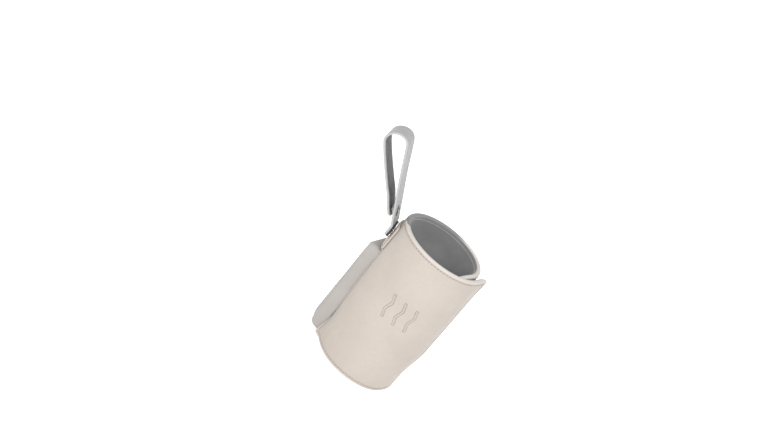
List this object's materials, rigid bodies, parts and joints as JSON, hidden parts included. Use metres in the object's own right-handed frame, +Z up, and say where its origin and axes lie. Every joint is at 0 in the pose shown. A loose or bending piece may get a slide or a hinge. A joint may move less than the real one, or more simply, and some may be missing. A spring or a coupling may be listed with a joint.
{
  "type": "bottle warmer",
  "caption": "Padded leather sleeve that wraps a baby bottle, heated inside, with a front flap, a controller pouch and a snap-closed hanging strap.",
  "frame": {"origin": "centre of the sleeve's base, on the surface it stands on", "axes": "+Z up along the sleeve's axis, -Y towards the front flap, -X towards the hanging strap"},
  "size_m": [0.1513, 0.0869, 0.2058],
  "materials": {
    "cover_leather": "soft beige synthetic leather with a fine grain",
    "edge_leather": "paler turned edge of the beige leather",
    "strap_leather": "light grey synthetic leather",
    "padding": "closed-cell foam",
    "lining": "smooth grey lining cloth",
    "heating_film": "thin amber heating film",
    "heating_trace": "etched metal trace",
    "tape": "hook and loop tape",
    "elastic": "woven elastic",
    "snap_metal": "nickel-plated snap",
    "case_plastic": "moulded beige plastic",
    "window_plastic": "dark glossy window",
    "button_plastic": "moulded pale button",
    "board": "green circuit board",
    "socket_metal": "steel socket shell",
    "dark_plastic": "black moulded plastic",
    "lead": "flat flexible lead"
  },
  "bodies": {
    "wrap": {"back_cover": "cover_leather", "back_padding": "padding", "heating_film": "heating_film", "heating_trace": "heating_trace", "back_lining": "lining", "back_hem_bottom": "edge_leather", "back_hem_top": "edge_leather", "back_hem_end": "edge_leather", "loop_tape": "tape", "base_band": "elastic", "pouch_cover": "cover_leather", "case_back": "case_plastic", "case_front": "case_plastic", "case_screws": "socket_metal", "circuit_board": "board", "display_module": "dark_plastic", "display_window": "window_plastic", "button_switch": "dark_plastic", "charging_socket": "socket_metal", "socket_tongue": "dark_plastic", "heater_lead": "lead", "temperature_sensor": "dark_plastic", "snap_washer": "strap_leather", "base_snap_stud": "snap_metal", "base_snap_back": "snap_metal"},
    "flap": {"flap_cover": "cover_leather", "flap_padding": "padding", "flap_lining": "lining", "flap_hem_bottom": "edge_leather", "flap_hem_top": "edge_leather", "flap_hem_end": "edge_leather", "hook_tape": "tape"},
    "button": {"power_button": "button_plastic"},
    "strap_base": {"strap_tab": "strap_leather", "base_snap_socket": "snap_metal", "base_snap_cap": "snap_metal"},
    "strap_leg": {"strap_front_leg": "strap_leather", "loop_snap_stud": "snap_metal", "loop_snap_back": "snap_metal"},
    "strap_end": {"strap_free_leg": "strap_leather", "loop_snap_socket": "snap_metal", "loop_snap_cap": "snap_metal"}
  },
  "joints": [
    {"name": "flap_open", "type": "hinge", "parent": "wrap", "child": "flap", "pos_m": [-0.03745, -0.01934, 0.0725], "axis": [0, 0, -1], "range_deg": [0, 110]},
    {"name": "button_press", "type": "slide", "parent": "wrap", "child": "button", "axis": [0.9563, -0.2924, 0], "range_m": [0, 0.0006], "stiffness_N_per_m": 400, "springref_m": -0.001},
    {"name": "strap_swivel", "type": "hinge", "parent": "wrap", "child": "strap_base", "pos_m": [-0.0474, 0, 0.124], "axis": [-1, 0, 0], "range_deg": [-90, 90]},
    {"name": "strap_swing", "type": "hinge", "parent": "strap_base", "child": "strap_leg", "pos_m": [-0.0474, 0, 0.131], "axis": [0, -1, 0], "range_deg": [-40, 60]},
    {"name": "strap_unsnap", "type": "hinge", "parent": "strap_leg", "child": "strap_end", "pos_m": [-0.09467, 0, 0.20373], "axis": [0, 1, 0], "range_deg": [0, 100]}
  ]
}
